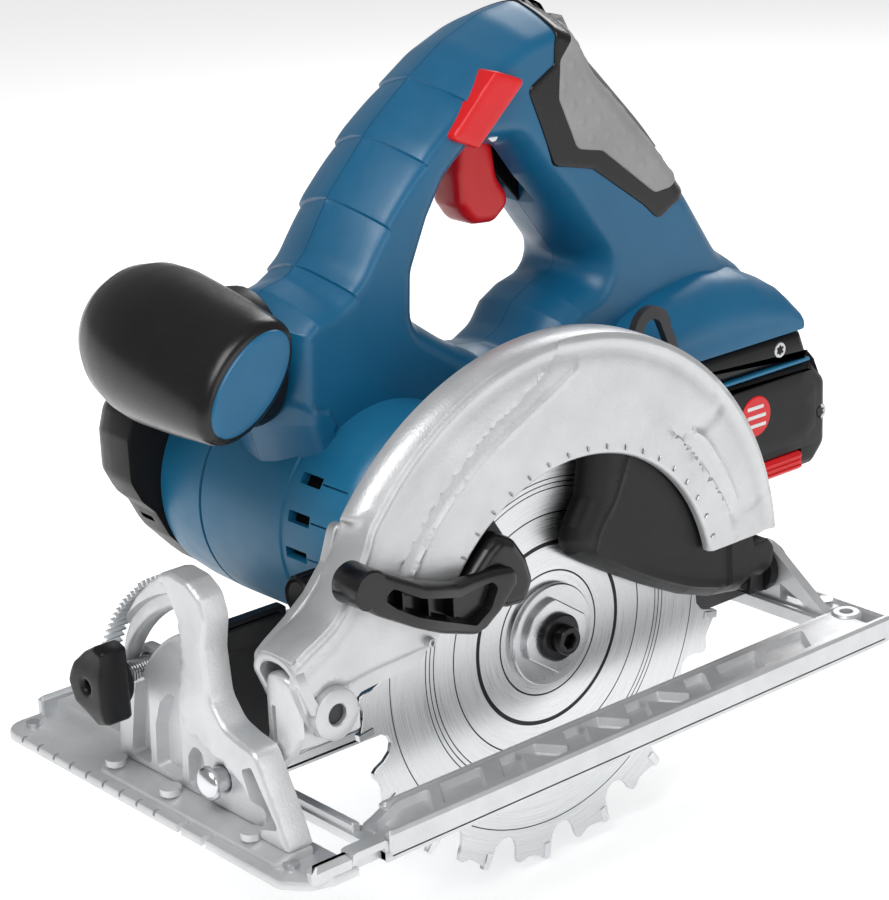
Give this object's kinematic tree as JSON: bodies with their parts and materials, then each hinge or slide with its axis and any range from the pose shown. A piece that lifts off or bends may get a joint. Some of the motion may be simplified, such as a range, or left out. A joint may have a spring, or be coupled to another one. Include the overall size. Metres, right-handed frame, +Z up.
{
  "type": "cordless circular saw",
  "caption": "Hand-held cordless circular saw with swinging lower guard, tilting sole, depth clamp, front knob, loop handle and slide-on battery pack.",
  "frame": {"origin": "point on the underside of the sole, in the plane of the blade, straight below the spindle at full depth", "axes": "+X to the rear (the operator), +Y to the motor side, +Z up, away from the work"},
  "size_m": [0.307, 0.1775, 0.2799],
  "materials": {
    "cast_alu": "cast, bead blasted",
    "guard_grey": "light grey metallic paint on a casting",
    "steel": "brushed",
    "zinc": "bright zinc plated",
    "dark_steel": "dark painted steel",
    "black_oxide": "blackened",
    "blue_plastic": "fine texture",
    "black_plastic": "fine texture",
    "black_rubber": "soft matte",
    "grey_rubber": "dimpled",
    "red_plastic": "semi gloss",
    "lamination": "stacked laminations",
    "copper": "bright copper",
    "carbon": "carbon",
    "cell_sleeve": "shrink sleeve",
    "wire": "insulation"
  },
  "bodies": {
    "base": {"base_plate": "cast_alu", "sole_studs": "zinc", "bevel_quadrant": "cast_alu", "quadrant_screws": "zinc", "rear_pivot_lug": "cast_alu", "rear_lug_screws": "zinc", "front_bevel_pin": "zinc", "rear_bevel_pin": "zinc"},
    "bevel_frame": {"bevel_frame": "dark_steel", "depth_arm": "steel", "depth_arm_screws": "zinc", "depth_pivot_pin": "zinc"},
    "wing_screw": {"wing_screw": "black_plastic"},
    "saw_body": {"upper_guard": "guard_grey", "guard_screws": "zinc", "guard_spring": "steel", "guard_retainer": "steel", "spindle_bearings": "steel", "gear_housing": "blue_plastic", "bearing_plate": "cast_alu", "rotor_bearings": "steel", "stator": "lamination", "carbon_brushes": "carbon", "motor_housing": "blue_plastic", "motor_end_cap": "black_plastic", "motor_screws": "zinc", "handle_near_half": "blue_plastic", "handle_far_half": "blue_plastic", "handle_screws": "zinc", "soft_grip": "black_rubber", "grip_inlay": "grey_rubber", "front_knob": "black_rubber", "knob_cap": "blue_plastic", "switch_block": "black_plastic", "wiring": "wire", "trigger_pin": "steel", "depth_bolt": "zinc", "terminal_block": "black_plastic"},
    "blade": {"blade": "steel", "inner_flange": "steel", "outer_flange": "steel", "clamping_bolt": "black_oxide", "spindle": "steel", "spindle_gear": "steel"},
    "rotor": {"motor_shaft": "steel", "motor_pinion": "steel", "rotor_core": "lamination", "commutator": "copper", "cooling_fan": "black_plastic"},
    "lower_guard": {"lower_guard": "dark_steel", "guard_lever": "black_plastic"},
    "trigger": {"trigger": "red_plastic"},
    "lock_off": {"lock_off_bar": "red_plastic"},
    "spindle_lock": {"spindle_lock": "black_plastic"},
    "depth_lever": {"depth_lever": "black_plastic"},
    "battery": {"battery_top_case": "black_plastic", "battery_bottom_case": "black_plastic", "battery_cells": "cell_sleeve", "battery_screws": "zinc"},
    "battery_button": {"battery_button": "red_plastic"}
  },
  "joints": [
    {"name": "bevel_tilt", "type": "hinge", "parent": "base", "child": "bevel_frame", "pos_m": [0, 0.014, 0.017], "axis": [1, 0, 0], "range_deg": [0, 45]},
    {"name": "bevel_clamp_screw", "type": "hinge", "parent": "bevel_frame", "child": "wing_screw", "pos_m": [-0.13, 0.05894, 0.03892], "axis": [1, 0, 0], "range_deg": [0, 90]},
    {"name": "depth_swing", "type": "hinge", "parent": "bevel_frame", "child": "saw_body", "pos_m": [-0.104, 0, 0.043], "axis": [0, -1, 0], "range_deg": [0, 27]},
    {"name": "blade_spin", "type": "hinge", "parent": "saw_body", "child": "blade", "pos_m": [0, 0, 0.0315], "axis": [0, -1, 0], "continuous": true},
    {"name": "motor_spin", "type": "hinge", "parent": "saw_body", "child": "rotor", "pos_m": [-0.02, 0, 0.054], "axis": [0, -1, 0], "continuous": true},
    {"name": "lower_guard_swing", "type": "hinge", "parent": "saw_body", "child": "lower_guard", "pos_m": [0, 0, 0.0315], "axis": [0, 1, 0], "range_deg": [0, 118]},
    {"name": "trigger_squeeze", "type": "hinge", "parent": "saw_body", "child": "trigger", "pos_m": [0.016, 0.056, 0.191], "axis": [0, -1, 0], "range_deg": [0, 8], "stiffness_Nm_per_rad": 0.8, "springref_deg": -6.88},
    {"name": "lock_off_press", "type": "slide", "parent": "saw_body", "child": "lock_off", "axis": [0, 1, 0], "range_m": [0, 0.002], "stiffness_N_per_m": 600, "springref_m": -0.001},
    {"name": "spindle_lock_press", "type": "slide", "parent": "saw_body", "child": "spindle_lock", "axis": [1, 0, 0], "range_m": [0, 0.003], "stiffness_N_per_m": 800, "springref_m": -0.001},
    {"name": "depth_lever_turn", "type": "hinge", "parent": "saw_body", "child": "depth_lever", "pos_m": [0.07789, 0.015, 0.03665], "axis": [0, 1, 0], "range_deg": [0, 12]},
    {"name": "battery_slide", "type": "slide", "parent": "saw_body", "child": "battery", "axis": [1, 0, 0], "range_m": [0, 0.12]},
    {"name": "battery_button_press", "type": "slide", "parent": "battery", "child": "battery_button", "axis": [0, 1, 0], "range_m": [0, 0.001], "stiffness_N_per_m": 800, "springref_m": -0.001}
  ],
  "couplings": [
    {"joint": "motor_spin", "follows": "blade_spin", "ratio": -4}
  ]
}
